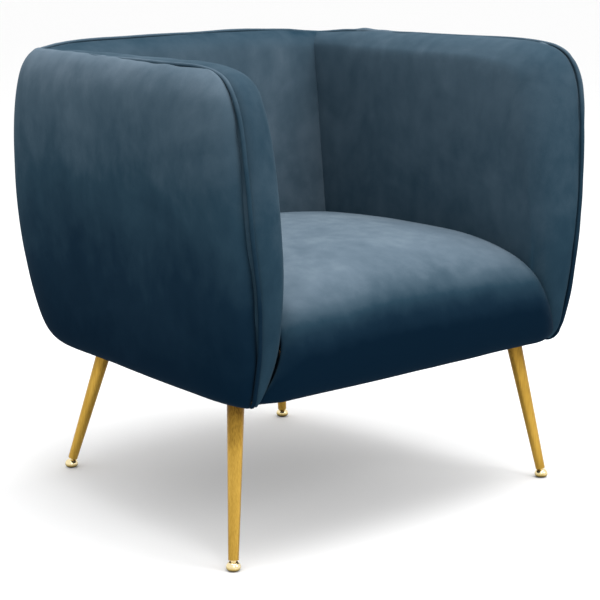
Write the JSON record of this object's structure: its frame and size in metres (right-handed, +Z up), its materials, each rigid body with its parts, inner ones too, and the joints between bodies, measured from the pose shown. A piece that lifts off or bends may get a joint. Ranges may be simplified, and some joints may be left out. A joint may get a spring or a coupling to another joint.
{
  "type": "upholstered tub armchair",
  "caption": "Low tub armchair in velvet with bulging outside panels, piped edges, a tight crowned seat and slim splayed metal legs with screw-in feet.",
  "frame": {"origin": "on the floor, under the middle of the chair's box", "axes": "+Z up, the sitter faces -Y, +X is the sitter's left"},
  "size_m": [0.745, 0.651, 0.705],
  "materials": {
    "velvet": "short-pile slate blue upholstery velvet",
    "foam": "open-cell polyurethane foam",
    "black_cloth": "spun-bonded lining cloth",
    "webbing": "woven elastic webbing",
    "timber": "sawn beech and plywood, unfinished",
    "hardboard": "thin hardboard",
    "spring_steel": "drawn spring wire",
    "zinc_steel": "zinc-plated steel",
    "plug_nylon": "moulded nylon",
    "brushed_brass": "brushed satin brass plating",
    "polished_brass": "polished brass plating"
  },
  "bodies": {
    "chair": {"back_cover": "velvet", "back_foam": "foam", "back_head_rail": "timber", "back_left_leg": "brushed_brass", "back_left_leg_plate": "zinc_steel", "back_leg_blocks": "timber", "back_panel": "hardboard", "back_right_leg": "brushed_brass", "back_right_leg_plate": "zinc_steel", "back_seat_rail": "timber", "back_webbing": "webbing", "dust_cover": "black_cloth", "front_left_leg": "brushed_brass", "front_left_leg_plate": "zinc_steel", "front_leg_blocks": "timber", "front_right_leg": "brushed_brass", "front_right_leg_plate": "zinc_steel", "front_seat_rail": "timber", "left_arm_cover": "velvet", "left_arm_foam": "foam", "left_arm_panel": "hardboard", "left_arm_post": "timber", "left_arm_rail": "timber", "left_arm_stump": "timber", "left_back_upright": "timber", "left_corner_foam": "foam", "left_corner_rail": "timber", "left_head_corner_rail": "timber", "left_outside_arm_cover": "velvet", "left_outside_arm_foam": "foam", "left_seat_rail": "timber", "leg_end_plugs": "plug_nylon", "leg_studs": "zinc_steel", "outside_back_cover": "velvet", "outside_back_foam": "foam", "piping": "velvet", "plate_screws": "zinc_steel", "right_arm_cover": "velvet", "right_arm_foam": "foam", "right_arm_panel": "hardboard", "right_arm_post": "timber", "right_arm_rail": "timber", "right_arm_stump": "timber", "right_back_upright": "timber", "right_corner_foam": "foam", "right_corner_rail": "timber", "right_head_corner_rail": "timber", "right_outside_arm_cover": "velvet", "right_outside_arm_foam": "foam", "right_seat_rail": "timber", "seat_cover": "velvet", "seat_foam": "foam", "seat_springs": "spring_steel", "spring_clips": "spring_steel", "spring_cloth": "black_cloth"},
    "front_left_foot": {"front_left_glide": "polished_brass"},
    "front_right_foot": {"front_right_glide": "polished_brass"},
    "back_left_foot": {"back_left_glide": "polished_brass"},
    "back_right_foot": {"back_right_glide": "polished_brass"}
  },
  "joints": [
    {"name": "front_left_levelling", "type": "slide", "parent": "chair", "child": "front_left_foot", "axis": [0.1579, -0.1623, -0.974], "range_m": [0, 0.008]},
    {"name": "front_right_levelling", "type": "slide", "parent": "chair", "child": "front_right_foot", "axis": [-0.1579, -0.1623, -0.974], "range_m": [0, 0.008]},
    {"name": "back_left_levelling", "type": "slide", "parent": "chair", "child": "back_left_foot", "axis": [0.215, 0.2064, -0.9546], "range_m": [0, 0.008]},
    {"name": "back_right_levelling", "type": "slide", "parent": "chair", "child": "back_right_foot", "axis": [-0.215, 0.2064, -0.9546], "range_m": [0, 0.008]}
  ]
}
